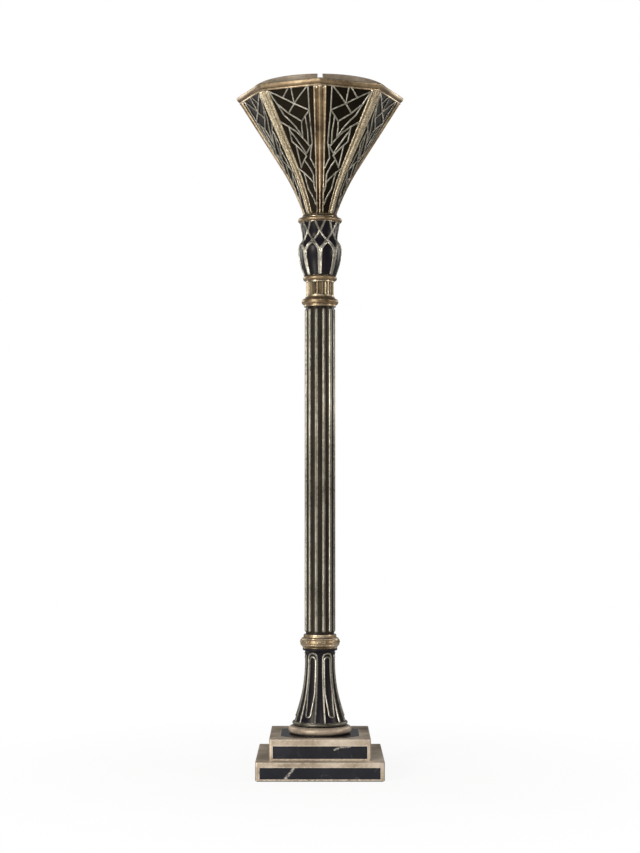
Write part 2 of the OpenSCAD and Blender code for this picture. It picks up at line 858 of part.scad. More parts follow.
module holder_cap() {
    color("#b99a55") difference() {
        union() {
            tube(rod_r + running_fit, holder_r, z_holder, z_holder + holder_floor);
            tube(holder_r - holder_wall, holder_r, z_holder, z_cap_top);
        }
        key_bore();
    }
}

module holder_shell() {
    color("#b99a55") tube(holder_r - holder_wall, holder_r, z_cap_top, z_shell_top);
}

module holder_insulator() {
    color("#2a2522") difference() {
        union() {
            translate([0, 0, rod_top]) cylinder(r = insulator_r, h = z_block_top - rod_top);
            tube(screw_shell_r, insulator_r, z_block_top, z_shell_top - 3);
        }
        translate([0, 0, rod_top - eps]) cylinder(r = flex_r + 0.5, h = 6 + eps);
        key_bore();
    }
}

module screw_shell() {
    color("#c8a85a") tube(screw_shell_r - screw_shell_t, screw_shell_r, z_block_top, z_shell_top - 6);
}

module centre_contact() {
    color("#c8a85a") translate([0, 0, z_block_top]) cylinder(r = contact_r, h = contact_h);
}

module switch_key() {
    color("#1d1b19") {
        translate([key_in + play, 0, key_z]) rotate([0, 90, 0]) cylinder(r = key_r, h = key_out - key_in);
        translate([key_out, -key_paddle[1] / 2, key_z - key_paddle[2] / 2]) cube(key_paddle);
    }
}

module bulb_cap() {
    color(steel) {
        translate([0, 0, z_bulb_cap]) cylinder(r1 = contact_r + 1, r2 = bulb_cap_r, h = 4);
        translate([0, 0, z_bulb_cap + 4]) cylinder(r = bulb_cap_r, h = bulb_cap_h - 4);
    }
}

// half section of the bulb, smaller by t: a ball on a neck that widens to meet it
module bulb_section(t) {
    reach = 0.9;
    intersection() {
        translate([0, bulb_centre]) circle(bulb_r - t);
        translate([0, z_bulb]) square([bulb_r, bulb_centre + bulb_r - z_bulb]);
    }
    polygon([[0, z_bulb], [bulb_neck_r - t, z_bulb], [reach * (bulb_r - t),
        bulb_centre - sqrt(1 - reach * reach) * (bulb_r - t)], [0, bulb_centre]]);
}

module bulb_glass() {
    color("#f4efe0") rotate_extrude() difference() {
        bulb_section(0);
        bulb_section(bulb_wall);
    }
}

base_felt();
base_cover();
cover_screws();
lower_frame();
lower_stone();
ballast();
terminal_block();
cord_gland();
gland_nut();
upper_frame();
upper_stone();
top_slab();
foot_ring();
groove_spacer();
foot_bead();
pedestal_body();
pedestal_tracery();
lower_knop();
column_tube();
column_reeds();
upper_collar();
fluted_neck();
capital_low_ring();
capital_body();
capital_tracery();
capital_top_ring();
tie_rod();
rod_nuts();
rod_washers();
inner_flex();
shade_seat();
rib_screws();
shade_ribs();
shade_glass();
shade_tracery();
rim_rails();
rail_screws();
crown_segments();
holder_cap();
holder_shell();
holder_insulator();
screw_shell();
centre_contact();
switch_key();
bulb_cap();
bulb_glass();
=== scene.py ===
import bpy
import bmesh
from math import sin, cos, tan, pi, radians, sqrt, atan2
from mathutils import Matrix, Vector


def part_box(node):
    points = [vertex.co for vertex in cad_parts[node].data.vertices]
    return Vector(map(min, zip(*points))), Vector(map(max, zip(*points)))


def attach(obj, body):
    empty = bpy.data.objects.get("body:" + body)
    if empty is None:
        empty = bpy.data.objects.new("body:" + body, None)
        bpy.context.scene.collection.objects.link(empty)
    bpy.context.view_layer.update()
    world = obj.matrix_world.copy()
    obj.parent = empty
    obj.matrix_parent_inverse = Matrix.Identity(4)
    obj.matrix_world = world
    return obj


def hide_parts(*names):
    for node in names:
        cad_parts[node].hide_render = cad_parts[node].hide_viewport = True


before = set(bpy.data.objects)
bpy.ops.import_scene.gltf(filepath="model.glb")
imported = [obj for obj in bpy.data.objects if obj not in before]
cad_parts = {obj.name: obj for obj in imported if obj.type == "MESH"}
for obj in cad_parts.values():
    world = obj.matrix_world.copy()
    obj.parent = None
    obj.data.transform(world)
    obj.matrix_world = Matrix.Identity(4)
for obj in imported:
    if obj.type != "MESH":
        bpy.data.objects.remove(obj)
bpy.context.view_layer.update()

scene = bpy.context.scene
for spare in ("Cube", "Light", "Camera"):
    if spare in bpy.data.objects:
        bpy.data.objects.remove(bpy.data.objects[spare])


# the camera stands in front of the lamp, level, its lens shifted up
view = {"distance": 4.34, "height": 0.705, "lens": 70.5, "shiftY": 0.0862}


def makeCamera():
    data = bpy.data.cameras.new("camera")
    data.lens = view["lens"]
    data.sensor_width = 36
    data.shift_y = view["shiftY"]
    cam = bpy.data.objects.new("camera", data)
    scene.collection.objects.link(cam)
    cam.location = (0, -view["distance"], view["height"])
    cam.rotation_euler = (radians(90), 0, 0)
    scene.camera = cam


lamps = {
    "key": {"at": (-2.4, -2.8, 2.3), "size": 0.9, "power": 85, "tint": (1, 0.96, 0.9)},
    "front": {"at": (0.5, -4.2, 2.9), "size": 0.5, "power": 36, "tint": (1, 0.98, 0.95)},
    "right": {"at": (3.2, -1.0, 1.6), "size": 0.7, "power": 26, "tint": (1, 0.93, 0.84)},
    "low": {"at": (-1.5, -1.9, 0.30), "size": 0.45, "power": 20, "tint": (1, 0.97, 0.92)},
    "backLeft": {"at": (-2.2, 2.0, 1.8), "size": 1.0, "power": 18, "tint": (1, 0.97, 0.93)},
    "backRight": {"at": (2.2, 2.0, 1.8), "size": 1.0, "power": 16, "tint": (1, 0.97, 0.93)},
}


def makeLamps():
    for name, lamp in lamps.items():
        data = bpy.data.lights.new(name, "AREA")
        data.size = lamp["size"]
        data.energy = lamp["power"]
        data.color = lamp["tint"]
        ob = bpy.data.objects.new(name, data)
        scene.collection.objects.link(ob)
        ob.location = lamp["at"]
        aim = Vector((0, 0, 0.9)) - ob.location
        ob.rotation_euler = aim.to_track_quat("-Z", "Y").to_euler()


class Strand:
    # one value on its way through a material, so that 1 - value adds its node
    def __init__(self, bench, socket):
        self.bench = bench
        self.socket = socket

    def calc(self, how, other=0.0, turned=False):
        pair = (other, self) if turned else (self, other)
        return self.bench.add("ShaderNodeMath", {"operation": how}, {0: pair[0], 1: pair[1]})

    def __add__(self, other):
        return self.calc("ADD", other)

    def __radd__(self, other):
        return self.calc("ADD", other, True)

    def __sub__(self, other):
        return self.calc("SUBTRACT", other)

    def __rsub__(self, other):
        return self.calc("SUBTRACT", other, True)

    def __mul__(self, other):
        return self.calc("MULTIPLY", other)

    def __rmul__(self, other):
        return self.calc("MULTIPLY", other, True)

    def __lt__(self, other):
        return self.calc("LESS_THAN", other)

    def __gt__(self, other):
        return self.calc("GREATER_THAN", other)

    def size(self):
        return self.calc("ABSOLUTE")

    def held(self):
        return self.bench.add("ShaderNodeClamp", {}, {"Value": self})


class Bench:
    # a new material with its nodes
    def __init__(self, name):
        self.material = bpy.data.materials.new(name)
        self.material.use_nodes = True
        self.tree = self.material.node_tree
        self.tree.nodes.clear()
        self.coord = self.add("ShaderNodeTexCoord", out="Object")

    def add(self, kind, settings=None, sockets=None, out=0):
        node = self.tree.nodes.new(kind)
        for key, value in (settings or {}).items():
            if key == "stops":
                ramp = node.color_ramp.elements
                while len(ramp) < len(value):
                    ramp.new(0.5)
                for spot, (place, colour) in zip(ramp, value):
                    spot.position = place
                    spot.color = (*colour, 1)
            else:
                setattr(node, key, value)
        for key, value in (sockets or {}).items():
            if isinstance(value, Strand):
                self.tree.links.new(value.socket, node.inputs[key])
            else:
                node.inputs[key].default_value = value
        return Strand(self, node.outputs[out]) if node.outputs else node

    def place(self):
        return [self.add("ShaderNodeSeparateXYZ", {}, {0: self.coord}, i) for i in range(3)]

    def noise(self, scale, detail=3, rough=0.55, stretch=(1, 1, 1)):
        where = self.coord
        if stretch != (1, 1, 1):
            where = self.add("ShaderNodeMapping", {}, {"Vector": self.coord, "Scale": stretch})
        return self.add("ShaderNodeTexNoise", {}, {"Vector": where, "Scale": scale, "Detail": detail,
                                                   "Roughness": rough})

    def cells(self, scale):
        return self.add("ShaderNodeTexVoronoi", {}, {"Vector": self.coord, "Scale": scale}, "Distance")

    def ramp(self, value, stops):
        return self.add("ShaderNodeValToRGB", {"stops": stops}, {"Fac": value})

    def remap(self, value, lowest, highest, start=0.0, end=1.0):
        return self.add("ShaderNodeMapRange", {}, {"Value": value, "From Min": lowest, "From Max": highest,
                                                   "To Min": start, "To Max": end})

    def blend(self, amount, colour, tone):
        return self.add("ShaderNodeMix", {"data_type": "RGBA"}, {0: amount, 6: colour, 7: (*tone, 1)}, 2)

    def hollow(self, reach, inside=False):
        settings = {"samples": 6, "inside": inside}
        return self.add("ShaderNodeAmbientOcclusion", settings, {"Distance": reach}, "AO")

    def edge(self, reach):
        return self.hollow(reach, True)

    def bump(self, height, strength, depth):
        sockets = {"Height": height, "Strength": strength, "Distance": depth}
        return self.add("ShaderNodeBump", {}, sockets, "Normal")

    def finish(self, **sockets):
        names = {"color": "Base Color", "rough": "Roughness", "metal": "Metallic", "normal": "Normal",
                 "coat": "Coat Weight", "coatRough": "Coat Roughness", "sheen": "Sheen Weight",
                 "specular": "Specular IOR Level", "specTint": "Specular Tint"}
        values = {names[key]: value for key, value in sockets.items()}
        surface = self.add("ShaderNodeBsdfPrincipled", {}, values)
        self.add("ShaderNodeOutputMaterial", {}, {"Surface": surface})
        return self.material


bronzeTones = {
    "antique": {"dark": (0.055, 0.035, 0.018), "mid": (0.28, 0.20, 0.115), "pale": (0.80, 0.69, 0.52),
                "rough": 0.32, "metal": 0.92, "grain": 0.35},
    "hammered": {"dark": (0.055, 0.037, 0.019), "mid": (0.20, 0.152, 0.090), "pale": (0.58, 0.50, 0.36),
                 "rough": 0.36, "metal": 0.90, "grain": 0.35},
    "tier": {"dark": (0.170, 0.130, 0.090), "mid": (0.50, 0.41, 0.31), "pale": (0.88, 0.78, 0.65),
             "rough": 0.36, "metal": 0.60, "grain": 0.3},
    "crown": {"dark": (0.150, 0.115, 0.080), "mid": (0.46, 0.37, 0.28), "pale": (0.85, 0.76, 0.64),
              "rough": 0.40, "metal": 0.40, "grain": 0.3},
    "silvered": {"dark": (0.036, 0.033, 0.024), "mid": (0.175, 0.165, 0.132), "pale": (0.44, 0.42, 0.36),
                 "rough": 0.34, "metal": 0.90, "grain": 0.3},
}


def bronze(name, tones, hammered=False, seams=False):
    # dark patina and painted shade in the hollows and creases, rubbed pale on the edges
    b = Bench(name)
    drift = b.noise(9, 4, 0.6)
    speck = b.noise(140, 3, 0.65)
    colour = b.ramp(drift * 0.8 + speck * 0.2, [(0.32, tones["dark"]), (0.50, tones["mid"]),
                                                (0.72, tones["pale"])])
    # darker in hollows and creases: partly dark patina, partly painted shade where light is hidden
    patinaAndShade = b.remap(b.hollow(0.008), 0.25, 0.85)
    colour = b.blend(1 - patinaAndShade, colour, tones["dark"])
    worn = b.remap(b.edge(0.004), 0.95, 0.55) * b.remap(speck, 0.30, 0.62)
    colour = b.blend((worn * 0.85).held(), colour, tones["pale"])
    height = speck * tones["grain"] + drift * 0.3
    rough = tones["rough"] + speck * 0.18 - worn * 0.12
    if hammered:
        dents = b.cells(330)
        height = height + dents * 1.6
        colour = b.blend(b.remap(dents, 0.25, 0.75), colour, tones["pale"])
    if seams:
        x, y = b.place()[:2]
        mitre = b.remap((x.size() - y.size()).size(), 0.0004, 0.0011)
        colour = b.blend(1 - mitre, colour, tones["dark"])
        height = height + mitre
    return b.finish(color=colour, metal=tones["metal"], rough=rough, normal=b.bump(height, 0.35, 0.0012))


stoneVeins = {
    # height above the floor, place across the front, lean, reach to each side, half width, reach up
    "low": {"z": 0.026, "x": -0.072, "lean": 1.25, "reach": 0.022, "half": 0.0032, "tall": 0.020},
    "high": {"z": 0.080, "x": 0.057, "lean": 0.26, "reach": 0.022, "half": 0.0026, "tall": 0.008},
}


def marble():
    b = Bench("blackMarble")
    x, y, z = b.place()
    cloud = b.noise(14, 5, 0.62)
    colour = b.ramp(cloud, [(0.30, (0.009, 0.010, 0.014)), (0.55, (0.015, 0.016, 0.022)),
                            (0.80, (0.028, 0.029, 0.038))])
    wander = b.noise(26, 4, 0.6) - 0.5
    frosty = b.noise(190, 3, 0.6)
    for vein in stoneVeins.values():
        along = x - vein["x"]
        up = z - vein["z"]
        gap = (up - along * vein["lean"] + wander * 0.016).size()
        line = b.remap(gap, vein["half"] * (1 + vein["lean"]), vein["half"] * 0.4)
        window = (along.size() < vein["reach"]) * (y < 0) * (up.size() < vein["tall"])
        patch = (line * window * b.remap(frosty, 0.35, 0.6)).held()
        colour = b.blend(patch, colour, (0.50, 0.46, 0.41))
    thread = b.add("ShaderNodeTexNoise", {}, {"Vector": b.coord, "Scale": 7, "Detail": 6, "Roughness": 0.5,
                                              "Distortion": 1.4})
    hair = b.remap((thread - 0.5).size(), 0.006, 0.0) * b.remap(cloud, 0.45, 0.7)
    colour = b.blend((hair * 0.4).held(), colour, (0.26, 0.24, 0.22))
    return b.finish(color=colour, rough=0.18 + frosty * 0.12, specular=0.25,
                    normal=b.bump(cloud, 0.04, 0.0005))


def blackGlass():
    b = Bench("blackGlass")
    mist = b.noise(22, 4, 0.6)
    ripple = b.noise(60, 2, 0.5)
    colour = b.ramp(mist, [(0.30, (0.004, 0.003, 0.002)), (0.62, (0.007, 0.005, 0.003)),
                           (0.82, (0.012, 0.010, 0.010))])
    dust = b.remap(b.hollow(0.010), 0.9, 0.3)
    colour = b.blend((dust * 0.5).held(), colour, (0.022, 0.016, 0.010))
    return b.finish(color=colour, rough=0.30 + mist * 0.2, specular=0.08, specTint=(0.80, 0.66, 0.48, 1),
                    normal=b.bump(ripple, 0.12, 0.001))


enamelTones = {
    "blue": {"deep": (0.004, 0.004, 0.007), "mid": (0.009, 0.008, 0.013), "worn": (0.026, 0.022, 0.022)},
    "brown": {"deep": (0.008, 0.006, 0.005), "mid": (0.022, 0.017, 0.013), "worn": (0.055, 0.043, 0.034)},
}


def enamel(name, tones):
    b = Bench(name)
    mist = b.noise(16, 4, 0.6)
    streak = b.noise(40, 3, 0.6, (1, 1, 0.06))
    colour = b.ramp(mist * 0.5 + streak * 0.5, [(0.34, tones["deep"]), (0.55, tones["mid"]),
                                                (0.75, tones["worn"])])
    dust = b.remap(b.hollow(0.008), 0.9, 0.3)
    colour = b.blend((dust * 0.45).held(), colour, (0.026, 0.020, 0.012))
    return b.finish(color=colour, rough=0.26 + streak * 0.2, specular=0.12, specTint=(0.9, 0.82, 0.72, 1),
                    coat=0.03, coatRough=0.2, normal=b.bump(streak, 0.08, 0.0006))


def plainMetal(name, dark, pale, rough, grain=(1, 1, 1)):
    b = Bench(name)
    brushed = b.noise(180, 4, 0.6, grain)
    colour = b.ramp(brushed, [(0.3, dark), (0.7, pale)])
    return b.finish(color=colour, metal=1.0, rough=rough + brushed * 0.15,
                    normal=b.bump(brushed, 0.15, 0.0004))


def moulded(name, dark, pale, rough):
    b = Bench(name)
    skin = b.noise(400, 3, 0.6)
    colour = b.ramp(skin, [(0.3, dark), (0.7, pale)])
    return b.finish(color=colour, rough=rough + skin * 0.1, normal=b.bump(skin, 0.2, 0.0003))


def feltCloth():
    b = Bench("baseFelt")
    fibre = b.noise(700, 4, 0.7, (1, 1, 0.3))
    colour = b.ramp(fibre, [(0.3, (0.010, 0.010, 0.009)), (0.7, (0.035, 0.034, 0.030))])
    return b.finish(color=colour, rough=0.95, sheen=0.3, normal=b.bump(fibre, 0.6, 0.0008))


def frostedBulb():
    b = Bench("frostedBulb")
    frost = b.noise(300, 3, 0.6)
    colour = b.ramp(frost, [(0.3, (0.78, 0.76, 0.70)), (0.7, (0.88, 0.86, 0.80))])
    return b.finish(color=colour, rough=0.35 + frost * 0.15, coat=0.4, coatRough=0.1,
                    normal=b.bump(frost, 0.05, 0.0003))


print("finishes")
antique = bronze("antiqueBronze", bronzeTones["antique"])
neckBronze = bronze("neckBronze", bronzeTones["hammered"])
hammeredBronze = bronze("hammeredBronze", bronzeTones["hammered"], hammered=True)
tierBronze = bronze("tierBronze", bronzeTones["tier"], seams=True)
crownBronze = bronze("crownBronze", bronzeTones["crown"])
silvered = bronze("silveredBronze", bronzeTones["silvered"])
marbleStone = marble()
glassBlack = blackGlass()
enamelDark = enamel("darkEnamel", enamelTones["blue"])
enamelBrown = enamel("brownEnamel", enamelTones["brown"])
steelPlated = plainMetal("platedSteel", (0.30, 0.30, 0.31), (0.48, 0.48, 0.49), 0.35, (1, 1, 0.2))
castIron = plainMetal("castIron", (0.035, 0.034, 0.032), (0.09, 0.085, 0.08), 0.65)
brassPlain = plainMetal("plainBrass", (0.50, 0.36, 0.14), (0.72, 0.54, 0.26), 0.28, (1, 1, 0.2))
capMetal = plainMetal("bulbCapMetal", (0.42, 0.42, 0.42), (0.62, 0.62, 0.62), 0.3, (1, 1, 8))
plasticBlack = moulded("blackMoulding", (0.012, 0.012, 0.012), (0.03, 0.03, 0.03), 0.45)
plasticWhite = moulded("whiteMoulding", (0.55, 0.53, 0.47), (0.68, 0.66, 0.60), 0.45)
flexSheath = moulded("flexSheath", (0.28, 0.17, 0.04), (0.42, 0.27, 0.08), 0.6)
feltBlack = feltCloth()
bulbFrost = frostedBulb()


def drop():
    if bpy.context.object and bpy.context.object.mode != "OBJECT":
        bpy.ops.object.mode_set(mode="OBJECT")
    bpy.ops.object.select_all(action="DESELECT")


def hold(part):
    drop()
    part.select_set(True)
    bpy.context.view_layer.objects.active = part


def edit():
    bpy.ops.object.mode_set(mode="EDIT")


def pick(kind, test):
    # selects the faces, edges or points of the part in hand that pass the test
    part = bpy.context.object
    bpy.ops.mesh.select_mode(type=kind)
    bpy.ops.mesh.select_all(action="DESELECT")
    bm = bmesh.from_edit_mesh(part.data)
    bm.normal_update()
    for item in {"FACE": bm.faces, "EDGE": bm.edges, "VERT": bm.verts}[kind]:
        if test(item):
            item.select_set(True)
    bm.select_flush_mode()
    bmesh.update_edit_mesh(part.data)


def tidyNormals():
    bpy.ops.mesh.select_all(action="SELECT")
    bpy.ops.mesh.remove_doubles(threshold=0.00001)
    bpy.ops.mesh.normals_make_consistent(inside=False)
    bpy.ops.object.mode_set(mode="OBJECT")


def settle(part, material, node, smooth=35):
    # puts the place into the mesh, gives the finish and takes over from the plain part
    hold(part)
    bpy.ops.object.transform_apply(location=True, rotation=True, scale=True)
    bpy.ops.object.shade_smooth_by_angle(angle=radians(smooth))
    part.data.materials.clear()
    part.data.materials.append(material)
    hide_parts(node)
    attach(part, "lamp")


def turned(name, profile, sides=128):
    # a closed outline of radius and height, drawn up ring by ring as on a lathe
    drop()
    r, z = profile[0]
    bpy.ops.mesh.primitive_circle_add(vertices=sides, radius=r, fill_type="NOTHING", location=(0, 0, z))
    part = bpy.context.object
    part.name = name
    bpy.ops.object.transform_apply(location=True, rotation=True, scale=True)
    edit()
    bpy.ops.mesh.select_all(action="SELECT")
    for (r0, z0), (r1, z1) in zip(profile, profile[1:] + profile[:1]):
        bpy.ops.mesh.extrude_edges_move(TRANSFORM_OT_translate={"value": (0, 0, z1 - z0)})
        bpy.ops.transform.resize(value=(r1 / r0, r1 / r0, 1), center_override=(0, 0, z1))
    tidyNormals()
    return part


def arc(r, z, radius, start, end, steps):
    # points on a round moulding, angles measured from straight out, upwards
    turns = [radians(start + (end - start) * i / steps) for i in range(steps + 1)]
    return [(r + radius * cos(a), z + radius * sin(a)) for a in turns]


ballEnd = [(1.0, 0.08), (0.87, 0.5), (0.5, 0.87)]  # how far past the end, and how thick there


def wires(name, paths, thick):
    # round bars with ball ends along each path
    drop()
    bpy.ops.curve.primitive_nurbs_path_add()
    part = bpy.context.object
    part.name = name
    data = part.data
    data.splines.clear()
    data.dimensions = "3D"
    data.bevel_depth = thick
    data.bevel_resolution = 2
    data.use_fill_caps = True
    for path in paths:
        first, last = path[0], path[-1]
        a = (first - path[1]).normalized() * thick
        c = (last - path[-2]).normalized() * thick
        points = [(first + a * s, w) for s, w in ballEnd] + [(p, 1) for p in path]
        points += [(last + c * s, w) for s, w in reversed(ballEnd)]
        spline = data.splines.new("POLY")
        spline.points.add(len(points) - 1)
        for spot, (place, share) in zip(spline.points, points):
            spot.co = (*place, 1)
            spot.radius = share
    bpy.ops.object.convert(target="MESH")
    part = bpy.context.object
    edit()
    tidyNormals()
    return part


def copyRound(part, count, first, name):
    # copies at equal turns about the upright axis, each with its own mesh; the pattern piece goes
    copies = []
    for i in range(count):
        hold(part)
        bpy.ops.object.duplicate()
        twin = bpy.context.object
        twin.name = name + str(i + 1)
        turn = first + i * 2 * pi / count
        bpy.ops.transform.rotate(value=-turn, orient_axis="Z", center_override=(0, 0, 0))
        bpy.ops.object.transform_apply(location=True, rotation=True, scale=True)
        copies.append(twin)
    bpy.data.objects.remove(part)
    return copies


def gather(parts, name):
    drop()
    for part in parts:
        part.select_set(True)
    bpy.context.view_layer.objects.active = parts[0]
    bpy.ops.object.join()
    bpy.context.object.name = name
    return bpy.context.object


boxes = {}  # sizes already asked for


def box(node):
    if node not in boxes:
        boxes[node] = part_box(node)
    return boxes[node]


def low(node):
    return box(node)[0].z


def high(node):
    return box(node)[1].z


def wide(node):
    return box(node)[1].x


def roundSpot(radius, turn, z):
    # a place round the axis, the turn in degrees from the front towards the right
    return Vector((radius * sin(radians(turn)), -radius * cos(radians(turn)), z))


def flowing(points, steps):
    # a soft line through the given points
    ends = [points[0]] + list(points) + [points[-1]]
    line = []
    for i in range(1, len(ends) - 2):
        p0, p1, p2, p3 = (Vector(p) for p in ends[i - 1:i + 3])
        for s in range(steps):
            t = s / steps
            line.append(0.5 * (2 * p1 + (p2 - p0) * t + (2 * p0 - 5 * p1 + 4 * p2 - p3) * t * t
                               + (3 * p1 - 3 * p2 + p3 - p0) * t * t * t))
    line.append(Vector(points[-1]))
    return line


tierCast = {
    "lower": {"node": "lower_frame", "post": 0.011, "bar": 0.013, "sill": 0.004, "deck": 0.004},
    "upper": {"node": "upper_frame", "post": 0.009, "bar": 0.017, "sill": 0.004, "deck": 0.007},
    "wall": 0.009, "recess": 0.005, "corner": 0.004, "lip": 0.0014, "lipDepth": 0.0012, "soften": 0.0011,
    "slab": 0.1005, "slabCorner": 0.034, "slabDepth": 0.003,
}


def makeTier(which):
    # a hollow casting with four windows for the stone, and for the upper tier a bed for the slab
    cast = tierCast[which]
    a, c = box(cast["node"])
    half = c.x
    drop()
    bpy.ops.mesh.primitive_cube_add(size=1, location=(a + c) / 2, scale=c - a)
    part = bpy.context.object
    part.name = which + "TierCasting"
    bpy.ops.object.transform_apply(location=True, rotation=True, scale=True)
    edit()
    pick("EDGE", lambda e: abs(e.verts[0].co.z - e.verts[1].co.z) > 0.01)
    bpy.ops.mesh.bevel(offset=tierCast["corner"], segments=6, profile=0.5)
    pick("FACE", lambda f: f.normal.z < -0.9)
    bpy.ops.mesh.inset(thickness=tierCast["wall"], depth=0)
    bpy.ops.mesh.extrude_region_move(TRANSFORM_OT_translate={"value": (0, 0, c.z - a.z - cast["deck"])})
    inner = half - cast["post"]
    top = c.z - cast["bar"]
    bottom = a.z + cast["sill"]
    cuts = [((s * inner, 0, 0), (1, 0, 0)) for s in (-1, 1)]
    cuts += [((0, s * inner, 0), (0, 1, 0)) for s in (-1, 1)]
    cuts += [((0, 0, top), (0, 0, 1)), ((0, 0, bottom), (0, 0, 1))]
    for spot, way in cuts:
        bpy.ops.mesh.select_all(action="SELECT")
        bpy.ops.mesh.bisect(plane_co=spot, plane_no=way)

    def inWindow(f):
        m = f.calc_center_median()
        across = m.y if abs(f.normal.x) > 0.9 else m.x
        outside = max(abs(m.x), abs(m.y)) > half - 0.001
        return abs(f.normal.z) < 0.1 and outside and abs(across) < inner and bottom < m.z < top

    pick("FACE", inWindow)
    bpy.ops.mesh.inset(thickness=0.0001)
    bpy.ops.mesh.extrude_region_shrink_fatten(TRANSFORM_OT_shrink_fatten={"value": -tierCast["lipDepth"]})
    bpy.ops.mesh.inset(thickness=tierCast["lip"])
    left = tierCast["recess"] - tierCast["lipDepth"]
    bpy.ops.mesh.extrude_region_shrink_fatten(TRANSFORM_OT_shrink_fatten={"value": -left})
    if which == "upper":
        s = tierCast["slab"]
        k = s - tierCast["slabCorner"] / 2
        for i in range(8):
            way = Vector((cos(i * pi / 4), sin(i * pi / 4), 0))
            spot = way * (s if i % 2 == 0 else k * sqrt(2))
            bpy.ops.mesh.select_all(action="SELECT")
            bpy.ops.mesh.bisect(plane_co=spot, plane_no=way)

        def onSlab(f):
            m = f.calc_center_median()
            inside = max(abs(m.x), abs(m.y)) < s and abs(m.x) + abs(m.y) < 2 * k
            return f.normal.z > 0.9 and inside and m.z > c.z - 0.001
        pick("FACE", onSlab)
        bpy.ops.mesh.extrude_region_move(TRANSFORM_OT_translate={"value": (0, 0, -tierCast["slabDepth"])})
    bpy.ops.mesh.select_all(action="SELECT")
    bpy.ops.mesh.normals_make_consistent(inside=False)
    bpy.ops.object.mode_set(mode="OBJECT")
    soft = part.modifiers.new("soften", "BEVEL")
    soft.width = tierCast["soften"]
    soft.segments = 3
    soft.limit_method = "ANGLE"
    soft.angle_limit = radians(50)
    hold(part)
    bpy.ops.object.modifier_apply(modifier=soft.name)
    settle(part, tierBronze, cast["node"])


beadRing = {"quirk": 0.0015, "wall": 1.6, "sweep": 88, "steps": 14}  # wall as a share of the height


def ringWithBead(name, node, material, step):
    # half-round moulding between two thin quirks
    a, c, r = low(node), high(node), wide(node)
    half = (c - a) / 2 - step
    bore = r - (c - a) * beadRing["wall"]
    quirk = r - half - beadRing["quirk"]
    profile = [(bore, a), (quirk, a), (quirk, a + step)]
    profile += arc(r - half, (a + c) / 2, half, -beadRing["sweep"], beadRing["sweep"], beadRing["steps"])
    profile += [(quirk, c - step), (quirk, c), (bore, c)]
    settle(turned(name, profile), material, node)


plainRings = {"bore": 0.02, "grooveDip": 0.0012, "seatEdge": 0.003, "seatRound": 0.001}


def makeRings():
    ringWithBead("footRing", "foot_ring", crownBronze, 0.0004)
    ringWithBead("footBead", "foot_bead", silvered, 0.0008)
    ringWithBead("capitalLowRing", "capital_low_ring", antique, 0.0012)
    ringWithBead("capitalTopRing", "capital_top_ring", antique, 0.0012)
    bore = plainRings["bore"]
    a, c, r = low("groove_spacer"), high("groove_spacer"), wide("groove_spacer")
    dip = r - plainRings["grooveDip"]
    groove = turned("footGroove", [(bore, a), (r, a), (dip, (a + c) / 2), (r, c), (bore, c)])
    settle(groove, enamelDark, "groove_spacer")
    a, c, r = low("shade_seat"), high("shade_seat"), wide("shade_seat")
    edge, soft = r - plainRings["seatEdge"], r - plainRings["seatRound"]
    seat = turned("shadeSeatCup", [(bore, a), (edge, a), (soft, a + 0.0025), (r, a + 0.004),
                                   (soft, a + 0.0062), (edge, c), (bore, c)])
    settle(seat, antique, "shade_seat")


knop = {"belly": 0.0155, "rise": 0.42, "slim": 0.001, "bore": 0.029, "foot": 0.0095, "neck": 0.0072,
        "lip": 0.0428, "scrolls": 7, "scrollThick": 0.0009, "scrollProud": 0.0002,
        "curlTurns": 1.3, "curlWide": 8.5, "curlTall": 0.30, "lowLine": -0.38, "highLine": 0.70}


def makeKnop():
    # a round belly under a lip, with pairs of chased scrolls between two lines
    a, c = low("lower_knop"), low("column_tube")
    mid = a + knop["rise"] * (c - a)
    base = wide("lower_knop") - knop["belly"] - knop["slim"]
    foot, bore, lip = base + knop["foot"], knop["bore"], knop["lip"]
    profile = [(bore, a), (foot - 0.001, a), (foot, a + 0.0012)]
    profile += arc(base, mid, knop["belly"], -56, 62, 20)
    profile += [(base + knop["neck"], mid + 0.0165), (lip - 0.0003, c - 0.005), (lip, c - 0.003),
                (lip - 0.0012, c), (bore, c)]
    part = turned("knopBody", profile)
    belly = knop["belly"] + knop["scrollProud"]

    def onBelly(turn, lift):
        return roundSpot(base + belly * cos(lift), turn, mid + belly * sin(lift))

    paths = []
    pitch = 360 / knop["scrolls"]
    for i in range(knop["scrolls"]):
        centre = pitch * i
        for side in (-1, 1):
            curl = []
            for step in range(19):
                t = step / 18
                swing = t * knop["curlTurns"] * 2 * pi
                across = 9.5 - knop["curlWide"] * (1 - 0.80 * t) * cos(swing)
                lift = 0.18 + knop["curlTall"] * (1 - 0.72 * t) * sin(swing)
                curl.append(onBelly(centre + side * across, lift))
            paths.append(curl)
        turns = [centre + pitch * t / 8 for t in range(9)]
        waves = [(turn, knop["lowLine"] + 0.03 * sin(t * pi / 4)) for t, turn in enumerate(turns)]
        paths.append([onBelly(turn, lift) for turn, lift in waves])
        paths.append([onBelly(turn, knop["highLine"]) for turn in turns])
    chasing = wires("knopChasing", paths, knop["scrollThick"])
    settle(gather([part, chasing], "chasedKnop"), antique, "lower_knop")


collar = {"bore": 0.031, "bulge": 0.0078, "rise": 0.48, "low": 0.0416, "step": 0.0392, "top": 0.0376}


